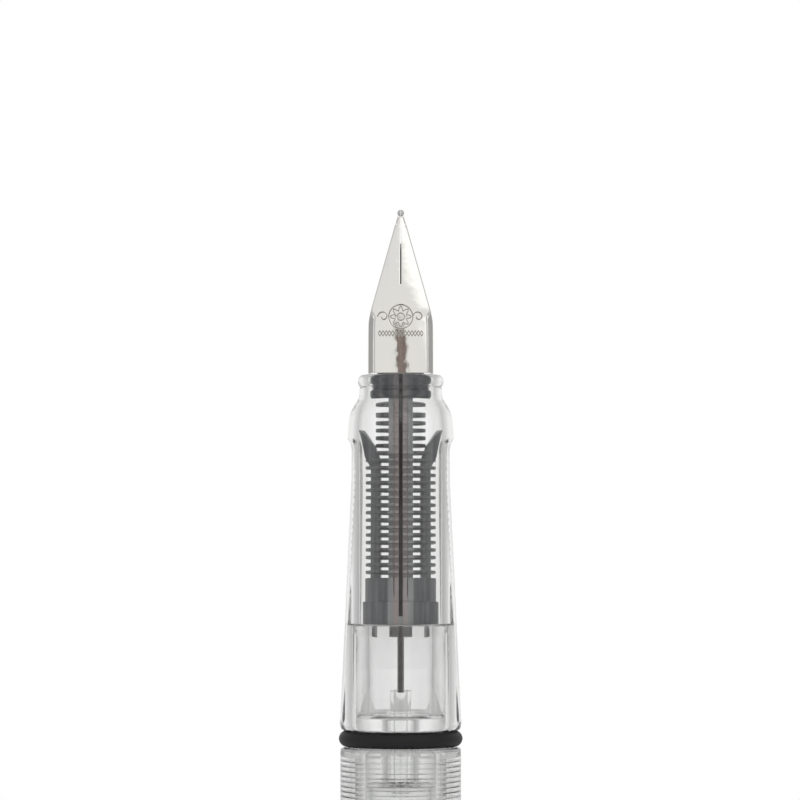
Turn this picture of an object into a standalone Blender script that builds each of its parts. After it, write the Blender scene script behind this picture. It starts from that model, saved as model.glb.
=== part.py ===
"""Clear demonstrator fountain pen with its cap posted, standing nib up on the cap's flat end.

Frame: origin at the centre of the cap's flat end, +Z along the pen towards the nib, the nib's
upper face towards -Y. Every length below is in millimetres and is turned into metres by MM.
"""
import math

import bmesh
import bpy
from mathutils import Matrix, Vector

MM = 0.001

# Heights along the pen
CAP_LENGTH = 64.0
BARREL_TAIL = 37.0
BARREL_LENGTH = 74.0
RING_THICKNESS = 1.62
GRIP_LENGTH = 35.38
NIB_LENGTH = 16.0
BARREL_MOUTH = BARREL_TAIL + BARREL_LENGTH
RING_SEAT = 1.72
GRIP_FOOT = BARREL_MOUTH + RING_SEAT
GRIP_LIP = GRIP_FOOT + GRIP_LENGTH
GAP = 0.3
NIB_FOOT = GRIP_LIP + 0.1
NIB_TIP = NIB_FOOT + NIB_LENGTH

# Radii
BARREL_R = 6.02
BARREL_TAIL_R = 5.65
BARREL_WALL = 1.0
TENON_R = BARREL_R - BARREL_WALL - GAP
TENON_BORE_R = 3.95
RING_R = 6.2
CORE_R = 4.6
CHAMBER_R = 4.2
THROAT_R = 3.35
CAP_R = 7.0
CAP_END_R = 6.3
CAP_BORE_R = 6.35

# The finger flats face this many degrees away from the nib's upper face
FLAT_TURN = 85.0

# Feed comb
FIN_PITCH = 0.736
FIN_THICKNESS = 0.3
NARROW_FINS = 6
FINS = 23
FIN_NARROW_R = 2.5
FIN_WIDE_R = 3.5
FEED_COLLAR_R = 3.78
FEED_SPINE = 1.15
WING_DEPTH = 2.6
WING_MIDDLE = -0.75

# Converter
CONVERTER_R = 3.55
CONVERTER_BORE_R = 2.95
CONVERTER_MOUTH = BARREL_MOUTH + 1.3
CONVERTER_FOOT = 74.0
NIPPLE_R = 1.05
NIPPLE_TIP = 106.5
ROD_R = 1.05
ROD_FLAT = 0.75

SEGMENTS = 24
FINE_SEGMENTS = 40


def clear_scene():
    """Removes every object, so the script can run again in the same file."""
    for item in list(bpy.data.objects):
        bpy.data.objects.remove(item, do_unlink=True)
    for group in list(bpy.data.collections):
        bpy.data.collections.remove(group)


def collection(name):
    group = bpy.data.collections.new(name)
    bpy.context.scene.collection.children.link(group)
    return group


def material(name, colour, roughness, metallic=0.0, transmission=0.0):
    made = bpy.data.materials.new(name)
    made.use_nodes = True
    shader = made.node_tree.nodes["Principled BSDF"]
    shader.inputs["Base Color"].default_value = (*colour, 1.0)
    shader.inputs["Roughness"].default_value = roughness
    shader.inputs["Metallic"].default_value = metallic
    shader.inputs["Transmission Weight"].default_value = transmission
    made.diffuse_color = (*colour, 1.0)
    return made


def add_object(name, mesh, group, finish=None):
    made = bpy.data.objects.new(name, mesh)
    group.objects.link(made)
    if finish:
        mesh.materials.append(finish)
    return made


def add_bmesh(name, bm, group, finish=None):
    mesh = bpy.data.meshes.new(name)
    bmesh.ops.recalc_face_normals(bm, faces=bm.faces)
    bm.to_mesh(mesh)
    bm.free()
    return add_object(name, mesh, group, finish)


def smooth(item, angle=35.0):
    item.data.shade_smooth()
    item.data.set_sharp_from_angle(angle=math.radians(angle))


def turned(name, profile, group, finish=None, segments=SEGMENTS):
    """A closed outline of (radius, height) points, turned round the pen's axis.

    The outline starts at the top and runs down the outer side. A first and last point on the
    axis leave it open there, and the turning closes it.
    """
    mesh = bpy.data.meshes.new(name)
    points = [(radius * MM, 0.0, height * MM) for radius, height in profile]
    on_axis = profile[0][0] == 0 and profile[-1][0] == 0
    edges = [(i, i + 1) for i in range(len(points) - 1)]
    if not on_axis:
        edges.append((len(points) - 1, 0))
    mesh.from_pydata(points, edges, [])
    made = add_object(name, mesh, group, finish)
    screw = made.modifiers.new("Turn", "SCREW")
    screw.axis = "Z"
    screw.steps = segments
    screw.render_steps = segments
    screw.use_merge_vertices = True
    screw.merge_threshold = 0.000001
    screw.use_normal_calculate = False
    screw.use_smooth_shade = True
    return made


def cylinder(name, radius, low, high, group, finish=None, segments=SEGMENTS, at=(0.0, 0.0)):
    bm = bmesh.new()
    place = Matrix.Translation(Vector((at[0], at[1], (low + high) / 2)) * MM)
    bmesh.ops.create_cone(bm, cap_ends=True, segments=segments, radius1=radius * MM,
                          radius2=radius * MM, depth=(high - low) * MM, matrix=place)
    return add_bmesh(name, bm, group, finish)


def box(name, low, high, group, finish=None, turn=None):
    """A box between two corners, then turned by a matrix about the pen's origin."""
    bm = bmesh.new()
    size = Vector([b - a for a, b in zip(low, high)]) * MM
    middle = Vector([(a + b) / 2 for a, b in zip(low, high)]) * MM
    place = Matrix.Translation(middle) @ Matrix.Diagonal((*size, 1.0))
    bmesh.ops.create_cube(bm, size=1.0, matrix=(turn or Matrix()) @ place)
    return add_bmesh(name, bm, group, finish)


def flat_outline(name, points, thickness, group, finish=None):
    """A closed outline of (x, z) points, given a thickness along Y on both sides of y = 0."""
    curve = bpy.data.curves.new(name, "CURVE")
    curve.dimensions = "2D"
    curve.fill_mode = "BOTH"
    curve.extrude = thickness / 2 * MM
    line = curve.splines.new("POLY")
    line.points.add(len(points) - 1)
    for spot, (x, z) in zip(line.points, points):
        spot.co = (x * MM, z * MM, 0.0, 1.0)
    line.use_cyclic_u = True
    drawn = bpy.data.objects.new(name + "_outline", curve)
    group.objects.link(drawn)
    drawn.rotation_euler = (math.radians(90.0), 0.0, 0.0)
    return curve_to_mesh(name, drawn, group, finish)


def curve_to_mesh(name, drawn, group, finish=None):
    """Makes a curve object a mesh with its caps welded, and removes the curve."""
    bpy.context.view_layer.update()
    graph = bpy.context.evaluated_depsgraph_get()
    mesh = bpy.data.meshes.new_from_object(drawn.evaluated_get(graph))
    bm = bmesh.new()
    bm.from_mesh(mesh)
    bmesh.ops.remove_doubles(bm, verts=bm.verts, dist=0.000001)
    bmesh.ops.recalc_face_normals(bm, faces=bm.faces)
    bm.to_mesh(mesh)
    bm.free()
    made = add_object(name, mesh, group, finish)
    made.matrix_world = drawn.matrix_world
    bpy.data.objects.remove(drawn, do_unlink=True)
    return made


def loft(name, rings, group, finish=None):
    """A closed solid through rings of equal counts of (x, y, z) points."""
    bm = bmesh.new()
    rows = [[bm.verts.new(Vector(p) * MM) for p in ring] for ring in rings]
    for lower, upper in zip(rows, rows[1:]):
        for i in range(len(lower)):
            j = (i + 1) % len(lower)
            bm.faces.new((lower[i], lower[j], upper[j], upper[i]))
    bm.faces.new(list(reversed(rows[0])))
    bm.faces.new(rows[-1])
    return add_bmesh(name, bm, group, finish)


def combine(item, tool, operation):
    """Adds, cuts or keeps with a second solid, which stays in its collection as a hidden guide."""
    step = item.modifiers.new(operation.title(), "BOOLEAN")
    step.operation = operation
    step.solver = "EXACT"
    step.object = tool
    tool.hide_render = True
    tool.display_type = "WIRE"


# ---------------------------------------------------------------- barrel

def make_barrel(parts, finish):
    """The clear barrel: a tube, open at the mouth, with a hole in its end wall for the plug."""
    mouth = BARREL_MOUTH
    tail = BARREL_TAIL
    bore = BARREL_R - BARREL_WALL
    outline = [
        (BARREL_R - 0.2, mouth), (BARREL_R, mouth - 0.2), (BARREL_R, mouth - 26.0),
        (BARREL_R - 0.1, tail + 27.0), (BARREL_TAIL_R, tail + 3.0), (BARREL_TAIL_R - 0.2, tail + 1.2),
        (BARREL_TAIL_R - 0.65, tail + 0.3), (BARREL_TAIL_R - 1.3, tail), (3.0, tail), (3.0, tail + 2.0),
        (4.2, tail + 2.0), (4.6, tail + 3.0), (bore - 0.1, tail + 27.0), (bore - 0.1, mouth - 10.5),
        (bore, mouth - 10.0), (bore, mouth - 0.35), (bore + 0.3, mouth),
    ]
    turned("barrel", outline, parts, finish, FINE_SEGMENTS)


def make_barrel_end_plug(parts, finish):
    """The plug that closes the hole in the barrel's end, with its collar inside."""
    tail = BARREL_TAIL
    outline = [
        (0, tail + 3.1), (3.6, tail + 3.1), (3.6, tail + 2.3), (2.7, tail + 2.3), (2.7, tail + 0.2),
        (2.5, tail), (0, tail),
    ]
    turned("barrel_end_plug", outline, parts, finish)


# ---------------------------------------------------------------- section

def make_o_ring(parts, finish):
    """The rubber ring between the barrel's mouth and the grip's foot."""
    half = RING_THICKNESS / 2
    turns = 10
    middle = BARREL_MOUTH + RING_SEAT / 2
    outline = [(RING_R - half + half * math.cos(a), middle + half * math.sin(a))
               for a in [math.pi / 2 - 2 * math.pi * i / turns for i in range(turns)]]
    turned("section_o_ring", outline, parts, finish, FINE_SEGMENTS)


def grip_outline():
    """The grip's outer side as (radius, height above its foot), from the lip down to the foot."""
    return [
        (3.6, GRIP_LENGTH), (4.02, 35.32), (4.24, 35.08), (4.29, 34.73), (4.2, 34.33), (4.08, 34.18),
        (4.14, 33.93), (4.15, 33.18), (4.55, 32.53), (4.98, 31.83), (5.15, 31.28), (5.25, 30.68),
        (5.28, 29.88), (5.3, 28.58), (5.5, 21.58), (5.78, 11.58), (6.0, 3.9), (6.07, 1.4),
        (6.03, 0.3), (5.85, 0.0),
    ]


def make_grip_shell(parts, cutters, finish):
    """The clear grip: a turned shell with a long flat at each side for the fingers."""
    foot = GRIP_FOOT
    outer = [(radius, foot + height) for radius, height in grip_outline()]
    inner = [
        (CORE_R + GAP, foot), (CORE_R + GAP, foot + 10.48), (CHAMBER_R, foot + 10.48),
        (CHAMBER_R, foot + 29.88), (4.05, foot + 31.33), (3.65, foot + 32.38),
        (THROAT_R, foot + 33.18), (THROAT_R, GRIP_LIP - 0.2), (THROAT_R + 0.1, GRIP_LIP),
    ]
    shell = turned("grip_shell", outer + inner, parts, finish, FINE_SEGMENTS)
    outline = [(8.0, 1.5), (5.94, 1.5), (4.77, 24.38), (4.77, 28.18), (5.7, 29.48), (8.0, 29.48)]
    for number, turn in enumerate((FLAT_TURN - 90.0, 270.0 - FLAT_TURN)):
        points = [(x, foot + height) for x, height in outline]
        cutter = flat_outline(f"grip_flat_{number}", points, 10.0, cutters)
        cutter.matrix_world = Matrix.Rotation(math.radians(turn), 4, "Z") @ cutter.matrix_world
        combine(shell, cutter, "DIFFERENCE")


def make_section_core(parts, finish):
    """The clear cup inside the grip: a rim, a floor with a hole, and the threaded tenon below."""
    foot = GRIP_FOOT
    top = foot + 10.18
    rim = top - 0.5
    side = CORE_R - 0.12
    tenon = BARREL_MOUTH - 0.4
    outline = [
        (CORE_R - 0.15, top), (CORE_R, top - 0.15), (CORE_R, rim), (side, rim - 0.3),
        (side, tenon + 0.3), (TENON_R, tenon), (TENON_R, tenon - 7.6), (TENON_R - 0.35, tenon - 8.1),
        (TENON_BORE_R, tenon - 8.1), (TENON_BORE_R, foot + 0.3), (NIPPLE_R + GAP, foot + 0.3),
        (NIPPLE_R + GAP, foot + 1.2), (3.1, foot + 1.2), (3.1, foot + 6.08), (3.16, foot + 6.38),
        (3.16, top),
    ]
    turned("section_core", outline, parts, finish, FINE_SEGMENTS)


def make_nipple(parts, finish):
    """The milky tube through the core's floor, with a small flange that rests on the floor."""
    top = GRIP_FOOT + 4.08
    flange = GRIP_FOOT + 1.5
    bore = 0.62
    outline = [
        (NIPPLE_R - 0.15, top), (NIPPLE_R, top - 0.2), (NIPPLE_R, flange + 0.3),
        (NIPPLE_R + 0.45, flange + 0.3), (NIPPLE_R + 0.45, flange), (NIPPLE_R, flange),
        (NIPPLE_R, NIPPLE_TIP + 0.5), (NIPPLE_R - 0.25, NIPPLE_TIP), (bore, NIPPLE_TIP), (bore, top),
    ]
    turned("nipple", outline, parts, finish)


# ---------------------------------------------------------------- feed and nib

def feed_comb_outline():
    """The feed's turned outline: front collar, comb of fins, solid root, foot collar and boss."""
    first = GRIP_LIP - 3.41
    outline = [(0, GRIP_LIP - 0.25), (2.9, GRIP_LIP - 0.25), (3.05, GRIP_LIP - 0.4),
               (3.05, GRIP_LIP - 2.4), (2.95, GRIP_LIP - 2.6), (FEED_SPINE, GRIP_LIP - 2.6)]
    for number in range(FINS):
        radius = FIN_NARROW_R if number < NARROW_FINS else FIN_WIDE_R
        middle = first - number * FIN_PITCH
        outline += [(FEED_SPINE, middle + FIN_THICKNESS / 2), (radius, middle + FIN_THICKNESS / 2),
                    (radius, middle - FIN_THICKNESS / 2), (FEED_SPINE, middle - FIN_THICKNESS / 2)]
    root = GRIP_LIP - 20.2
    foot = GRIP_LIP - 24.9
    outline += [(FEED_SPINE, root), (FIN_WIDE_R + 0.05, root), (FIN_WIDE_R + 0.05, root - 2.3),
                (FEED_COLLAR_R, root - 2.3), (FEED_COLLAR_R, foot), (0.85, foot),
                (0.85, foot - 0.9), (0.33, foot - 0.9), (0.33, foot - 6.7), (0, foot - 6.7)]
    return outline


def feed_wing_outline():
    """One side wing of the feed, seen from the front: a rib with a sloping, hollowed top."""
    lip = GRIP_LIP
    slope = [(3.7, 5.6), (3.3, 6.05), (2.95, 6.5), (2.7, 6.85), (2.5, 7.15)]
    inner = [(2.25, 7.8), (1.95, 8.6), (1.95, 20.3)]
    outer = [(2.8, 20.3), (2.8, 9.4), (3.3, 8.3)]
    return [(x, lip - drop) for x, drop in slope + inner + outer]


def feed_nose_ring(height, half_width, top, bottom, count=16):
    """One rounded section of the feed's nose: (x, y, z) points round a squarish oval."""
    middle = (top + bottom) / 2
    half_depth = (bottom - top) / 2
    points = []
    for i in range(count):
        angle = 2 * math.pi * i / count
        c, s = math.cos(angle), math.sin(angle)
        x = half_width * math.copysign(abs(c) ** 0.7, c)
        y = middle + half_depth * math.copysign(abs(s) ** 0.7, s)
        points.append((x, y, height))
    return points


def nib_half_width(s):
    """The nib's half width at a distance s back from its tip."""
    straight = 0.36 + 0.281 * max(s - 0.4, 0.0)
    return min(straight, 3.25 - 0.25 * max(0.0, (11.2 - s) / 1.4) ** 2 if s > 9.4 else straight, 3.25)


def nib_top(s):
    """How far forward (towards -Y) the nib's upper face stands at a distance s from its tip."""
    return -2.75 + 1.35 * (1 - s / NIB_LENGTH) ** 1.7


def make_feed(parts, cutters, finish):
    """The black comb feed: turned comb, spine, two wings, ink channel, feet, and nose."""
    feed = turned("feed", feed_comb_outline(), parts, finish, 18)
    spine = box("feed_spine", (-FEED_SPINE, -2.35, GRIP_LIP - 22.6), (FEED_SPINE, 0.6, GRIP_LIP - 2.5),
                cutters)
    combine(feed, spine, "UNION")
    for side in (-1, 1):
        points = [(side * x, z) for x, z in feed_wing_outline()]
        wing = flat_outline(f"feed_wing_{side + 1}", points, WING_DEPTH, cutters)
        wing.location.y = WING_MIDDLE * MM
        combine(feed, wing, "UNION")
        leg = box(f"feed_leg_{side + 1}", (side * 2.65 - 0.15, -0.7, GRIP_LIP - 25.9),
                  (side * 2.65 + 0.15, 0.7, GRIP_LIP - 24.7), cutters)
        combine(feed, leg, "UNION")
    rings = []
    for share in [i / 9 for i in range(10)]:
        height = GRIP_LIP - 0.5 + 13.2 * share
        s = max(NIB_TIP - height, 0.0)
        half_width = min(nib_half_width(min(s, NIB_LENGTH)) - 0.75, 2.35)
        top = nib_top(min(s, NIB_LENGTH)) + 0.75
        bottom = top + 0.7 + 3.5 * (1 - share) ** 0.8
        rings.append(feed_nose_ring(height, max(half_width, 0.3), top, bottom))
    nose = loft("feed_nose", rings, cutters)
    combine(feed, nose, "UNION")
    channel = box("feed_channel", (-0.16, -4, GRIP_LIP - 24.0), (0.16, -1.9, GRIP_LIP - 0.1), cutters)
    combine(feed, channel, "DIFFERENCE")


def nib_section(s):
    """Half a section of the nib's sheet at a distance s from the tip: (x, y) points."""
    half = nib_half_width(s)
    top = nib_top(s)
    fold = min(0.55, 0.45 * half)
    wall = 2.3 * min(1.0, max(0.0, (s - 1.0) / 9.5)) ** 1.3
    crown = 0.05 * half
    flat = half - fold
    points = [(flat * t, top + crown * t * t) for t in (0.0, 0.34, 0.67, 1.0)]
    for step in (1, 2, 3, 4):
        angle = math.radians(90 - 21 * step)
        points.append((flat + fold * math.cos(angle), top + crown + fold * (1 - math.sin(angle))))
    x_end, y_end = points[-1]
    points.append((x_end + 0.02, y_end + 0.5 * wall))
    points.append((x_end - 0.06, y_end + wall + 0.02))
    return points


def make_nib(parts, cutters, finish):
    """The steel nib: a sheet folded down at both sides, with a slit from its tip."""
    sheet = 0.28
    bm = bmesh.new()
    stations = [0.35, 1.0, 2.2, 3.6, 5.0, 6.5, 8.0, 9.4, 10.1, 10.7, 11.2, 13.5, NIB_LENGTH]
    rows = []
    for s in stations:
        rows.append([bm.verts.new(Vector((x, y, NIB_TIP - s)) * MM) for x, y in nib_section(s)])
    for upper, lower in zip(rows, rows[1:]):
        for i in range(len(upper) - 1):
            bm.faces.new((upper[i], lower[i], lower[i + 1], upper[i + 1]))
    mesh = bpy.data.meshes.new("nib")
    bm.to_mesh(mesh)
    bm.free()
    nib = add_object("nib", mesh, parts, finish)
    mirror = nib.modifiers.new("Mirror", "MIRROR")
    mirror.merge_threshold = 0.00001
    wall = nib.modifiers.new("Sheet", "SOLIDIFY")
    wall.thickness = sheet * MM
    wall.offset = -1.0
    slit = box("nib_slit", (-0.07, -4, NIB_TIP - 7.2), (0.07, 1, NIB_TIP + 1), cutters)
    combine(nib, slit, "DIFFERENCE")


def make_nib_tipping(parts, finish):
    """The hard pellet welded to the nib's point."""
    bm = bmesh.new()
    place = Matrix.Translation(Vector((0, nib_top(0) + 0.14, NIB_TIP + 0.05)) * MM)
    bmesh.ops.create_uvsphere(bm, u_segments=12, v_segments=8, radius=0.34 * MM, matrix=place)
    pellet = add_bmesh("nib_tipping", bm, parts, finish)
    smooth(pellet)


# ---------------------------------------------------------------- converter

def make_converter_tube(parts, finish):
    """The clear ink tube of the converter, with the mouth that grips the nipple."""
    mouth = CONVERTER_MOUTH
    bore = NIPPLE_R + GAP
    outline = [
        (CONVERTER_R - 0.3, mouth), (CONVERTER_R, mouth - 0.4), (CONVERTER_R, CONVERTER_FOOT),
        (CONVERTER_BORE_R, CONVERTER_FOOT), (CONVERTER_BORE_R, mouth - 5.2), (bore, mouth - 4.4),
        (bore, mouth - 0.4), (bore + 0.4, mouth),
    ]
    turned("converter_tube", outline, parts, finish, FINE_SEGMENTS)


def make_converter_band(parts, finish):
    """The metal band that joins the converter's tube to its screw end."""
    inner = CONVERTER_R + GAP
    outline = [
        (inner + 0.25, CONVERTER_FOOT + 9.0), (inner + 0.35, CONVERTER_FOOT + 8.9),
        (inner + 0.35, CONVERTER_FOOT - 3.4), (inner + 0.25, CONVERTER_FOOT - 3.5),
        (inner, CONVERTER_FOOT - 3.5), (inner, CONVERTER_FOOT + 9.0),
    ]
    turned("converter_band", outline, parts, finish, FINE_SEGMENTS)


def rod_shape(name, radius, flat, low, high, group, cutters, finish=None):
    """A round rod with two flats, which cannot turn in a hole of the same shape."""
    rod = cylinder(name, radius, low, high, group, finish, 24)
    keep = box(name + "_flats", (-2 * radius, -flat, low - 1), (2 * radius, flat, high + 1), cutters)
    combine(rod, keep, "INTERSECT")
    return rod


def make_rod_guide(parts, cutters, finish):
    """The bush that keeps the piston rod from turning."""
    top = CONVERTER_FOOT - GAP
    outline = [(CONVERTER_R, top), (CONVERTER_R, top - 2.8), (0.2, top - 2.8), (0.2, top)]
    guide = turned("rod_guide", outline, parts, finish)
    hole = rod_shape("rod_guide_hole", ROD_R + 0.2, ROD_FLAT + 0.2, top - 4, top + 1, cutters, cutters)
    combine(guide, hole, "DIFFERENCE")


def make_piston(parts, cutters, rod_finish, seal_finish):
    """The piston: a rod with two flats, and a rubber seal with two lips on its end."""
    seat = CONVERTER_FOOT + 6.0
    rod_shape("piston_rod", ROD_R, ROD_FLAT, CONVERTER_FOOT - 23.0, seat, parts, cutters, rod_finish)
    lip = CONVERTER_BORE_R - GAP
    outline = [
        (0, seat + 3.3), (lip - 0.5, seat + 3.3), (lip, seat + 2.9), (lip, seat + 2.4),
        (lip - 0.5, seat + 2.1), (lip - 0.5, seat + 1.5), (lip, seat + 1.2), (lip, seat + 0.7),
        (lip - 0.5, seat + 0.3), (0, seat + 0.3),
    ]
    turned("piston_seal", outline, parts, seal_finish)


def make_converter_knob(parts, finish):
    """The knob at the converter's end: a sleeve, closed below, that the rod draws back into."""
    top = CONVERTER_FOOT - 3.7
    foot = CONVERTER_FOOT - 24.5
    outline = [
        (3.2, top), (3.3, top - 0.1), (3.3, top - 2.5), (3.9, top - 2.9), (3.9, foot + 0.5),
        (3.5, foot), (0, foot), (0, foot + 1.0), (1.6, foot + 1.0), (1.6, top),
    ]
    turned("converter_knob", outline, parts, finish)


# ---------------------------------------------------------------- cap

def make_cap_tube(parts, cutters, finish):
    """The clear cap: a tapering tube with an end wall, a stem hole and a pocket for the clip."""
    mouth = CAP_LENGTH
    outline = [
        (CAP_R - 0.3, mouth), (CAP_R, mouth - 0.35), (CAP_R, mouth - 14.0), (CAP_R - 0.15, 30.0),
        (CAP_END_R + 0.15, 3.0), (CAP_END_R, 1.9), (1.9, 1.9), (1.9, 3.6), (5.7, 3.6), (6.0, 28.0),
        (CAP_BORE_R - 0.05, 44.0), (CAP_BORE_R, mouth - 0.4), (CAP_BORE_R + 0.15, mouth),
    ]
    tube = turned("cap_tube", outline, parts, finish, FINE_SEGMENTS)
    pocket = box("clip_pocket", (-2.1, -9, 0.5), (2.1, -3.6, 3.1), cutters)
    combine(tube, pocket, "DIFFERENCE")


def make_cap_liner(parts, finish):
    """The inner cap that closes over the nib and keeps it wet."""
    outline = [
        (5.1, 28.0), (5.45, 27.7), (5.3, 3.9), (1.8, 3.9), (1.8, 5.2), (4.4, 5.2), (4.65, 27.7),
        (4.8, 28.0),
    ]
    turned("cap_liner", outline, parts, finish, FINE_SEGMENTS)


def make_cap_finial(parts, finish):
    """The flat end button the pen stands on, with the stem that holds the cap's end together."""
    outline = [
        (0, 6.9), (1.3, 6.9), (1.5, 6.7), (1.5, 1.6), (CAP_END_R - 0.3, 1.6), (CAP_END_R - 0.1, 1.4),
        (CAP_END_R - 0.1, 0.25), (CAP_END_R - 0.35, 0.0), (0, 0.0),
    ]
    turned("cap_finial", outline, parts, finish, FINE_SEGMENTS)


def make_cap_nut(parts, cutters, finish):
    """The brass nut on the finial's stem, inside the liner."""
    nut = cylinder("cap_nut", 2.9, 5.5, 7.2, parts, finish, 6)
    hole = cylinder("cap_nut_hole", 1.8, 5.0, 8.0, cutters, None, 24)
    combine(nut, hole, "DIFFERENCE")


def make_cap_clip(parts, cutters, finish):
    """The spring clip: a strap bent up from a tab in the cap's end, with a ball at its free end."""
    half_width = 1.7
    thickness = 0.6
    outer = CAP_R + 1.3
    bend = 1.0
    corner = [(-(outer - bend) - bend * math.sin(a), 1.95 + bend - bend * math.cos(a))
              for a in [math.radians(10 * i) for i in range(10)]]
    inner_bend = bend - thickness
    back = [(-(outer - bend) - inner_bend * math.sin(a), 1.95 + bend - inner_bend * math.cos(a))
            for a in [math.radians(90 - 15 * i) for i in range(7)]]
    tip = 46.6
    points = [(-4.0, 1.95)] + corner + [(-outer, tip), (-(outer - thickness), tip)] + back
    points += [(-4.0, 1.95 + thickness)]
    strap = flat_outline("cap_clip", points, 2 * half_width, parts, finish)
    strap.data.transform(Matrix.Rotation(math.radians(90), 4, "Y"))
    ball_r = 1.35
    ball_centre = Vector((0, -(CAP_R + GAP + ball_r), tip + 0.33)) * MM
    bm = bmesh.new()
    bmesh.ops.create_uvsphere(bm, u_segments=14, v_segments=8, radius=ball_r * MM,
                              matrix=Matrix.Translation(ball_centre))
    ball = add_bmesh("clip_ball", bm, cutters)
    combine(strap, ball, "UNION")


def build():
    clear_scene()
    parts = collection("demonstrator_fountain_pen")
    cutters = collection("cutters")
    clear = material("clear_plastic", (0.93, 0.94, 0.93), 0.05, transmission=1.0)
    milky = material("milky_plastic", (0.9, 0.91, 0.9), 0.25, transmission=0.6)
    black = material("black_plastic", (0.055, 0.055, 0.058), 0.35)
    rubber = material("black_rubber", (0.03, 0.03, 0.032), 0.6)
    steel = material("polished_steel", (0.78, 0.77, 0.74), 0.15, metallic=1.0)
    tipping = material("tipping_alloy", (0.7, 0.7, 0.7), 0.3, metallic=1.0)
    chrome = material("chrome", (0.8, 0.8, 0.82), 0.08, metallic=1.0)
    brass = material("brass", (0.78, 0.6, 0.3), 0.25, metallic=1.0)
    grey = material("grey_plastic", (0.35, 0.35, 0.36), 0.4)

    make_barrel(parts, clear)
    make_barrel_end_plug(parts, clear)
    make_o_ring(parts, rubber)
    make_grip_shell(parts, cutters, clear)
    make_section_core(parts, clear)
    make_nipple(parts, milky)
    make_feed(parts, cutters, black)
    make_nib(parts, cutters, steel)
    make_nib_tipping(parts, tipping)
    make_converter_tube(parts, clear)
    make_converter_band(parts, chrome)
    make_rod_guide(parts, cutters, black)
    make_piston(parts, cutters, grey, rubber)
    make_converter_knob(parts, black)
    make_cap_tube(parts, cutters, clear)
    make_cap_liner(parts, clear)
    make_cap_finial(parts, black)
    make_cap_nut(parts, cutters, brass)
    make_cap_clip(parts, cutters, chrome)


build()
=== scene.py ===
import math

import bmesh
import bpy
from mathutils import Matrix, Vector


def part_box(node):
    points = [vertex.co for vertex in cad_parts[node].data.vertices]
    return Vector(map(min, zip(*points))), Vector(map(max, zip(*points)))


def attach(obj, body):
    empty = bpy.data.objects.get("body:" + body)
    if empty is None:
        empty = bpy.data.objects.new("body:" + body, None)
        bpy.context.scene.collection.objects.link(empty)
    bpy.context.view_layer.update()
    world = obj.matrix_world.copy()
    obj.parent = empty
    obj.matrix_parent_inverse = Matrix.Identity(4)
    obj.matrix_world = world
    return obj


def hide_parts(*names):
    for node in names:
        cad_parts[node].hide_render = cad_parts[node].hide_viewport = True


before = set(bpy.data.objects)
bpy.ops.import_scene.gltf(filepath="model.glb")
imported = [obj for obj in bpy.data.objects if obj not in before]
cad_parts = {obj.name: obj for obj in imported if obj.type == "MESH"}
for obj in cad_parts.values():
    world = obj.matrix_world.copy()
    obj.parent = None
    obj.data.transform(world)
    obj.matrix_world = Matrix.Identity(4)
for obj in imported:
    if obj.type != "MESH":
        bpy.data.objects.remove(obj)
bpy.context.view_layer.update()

# ----------------------------------------------------------------------------
# The view: the pen is seen square on from the front of the nib, from a third of a metre away,
# close to the grip, so that only the nib, the grip and the start of the barrel are in the frame.
mm = 0.001
view_width = 80 * mm
view_side = -0.07
eye_back = 370.0


def heights(name):
    """A CAD part's lowest and highest height and its radius, in millimetres."""
    low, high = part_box(name)
    return low.z / mm, high.z / mm, high.x / mm


grip_foot, lip, _ = heights("grip_shell")
eye = Vector((view_side, -eye_back, lip - 16.5)) * mm
aim = Vector((view_side, 0.0, lip - 2.5)) * mm

lens = bpy.data.cameras.new("portrait_lens")
lens.sensor_width = 36.0
lens.lens = lens.sensor_width * (aim - eye).length / view_width
lens.clip_start = 0.01
lens.clip_end = 10.0
camera = bpy.data.objects.new("portrait_lens", lens)
camera.location = eye
camera.rotation_euler = (aim - eye).to_track_quat("-Z", "Y").to_euler()
scene = bpy.context.scene
scene.collection.objects.link(camera)
scene.camera = camera

# ----------------------------------------------------------------------------
# The studio: a white sweep lit from all round, brightest behind the pen and greyer at the sides. In
# front are a soft box, high and to the right, and a narrow dark flag for the glint down polished steel.
scene.view_settings.view_transform = "Standard"
scene.cycles.max_bounces = 40
scene.cycles.transmission_bounces = 36
scene.cycles.transparent_max_bounces = 24
scene.cycles.glossy_bounces = 16
scene.cycles.diffuse_bounces = 4
scene.cycles.blur_glossy = 0.4
scene.cycles.sample_clamp_indirect = 6.0
scene.cycles.use_denoising = True


def node_calls(tree):
    """Three calls for a node tree: add a node, join two sockets, and calc, which does a sum.

    The sum's values are numbers or sockets, and it gives back its output socket.
    """

    def add(kind, **settings):
        node = tree.nodes.new(kind)
        for name, value in settings.items():
            if name.startswith("in_"):
                node.inputs[int(name[3:])].default_value = value
            else:
                setattr(node, name, value)
        return node

    def calc(operation, *values):
        node = add("ShaderNodeMath", operation=operation)
        for number, value in enumerate(values):
            if isinstance(value, float):
                node.inputs[number].default_value = value
            else:
                tree.links.new(value, node.inputs[number])
        return node.outputs[0]

    return add, tree.links.new, calc


def ramp(add, join, value, stops):
    """A value made a colour by a ramp with the given (position, grey or colour) stops."""
    node = add("ShaderNodeValToRGB")
    line = node.color_ramp
    for number, (place, tone) in enumerate(stops):
        stop = line.elements[number] if number < 2 else line.elements.new(place)
        stop.position = place
        stop.color = (tone, tone, tone, 1) if isinstance(tone, float) else (*tone, 1)
    join(value, node.inputs[0])
    return node.outputs[0]


def ranged(add, join, value, low=0.0, high=1.0, start=0.0, end=1.0, kind="LINEAR"):
    """A value that runs from start to end made to run from low to high, and no further."""
    node = add("ShaderNodeMapRange", interpolation_type=kind, in_1=start, in_2=end, in_3=low, in_4=high)
    join(value, node.inputs[0])
    return node.outputs[0]


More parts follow.
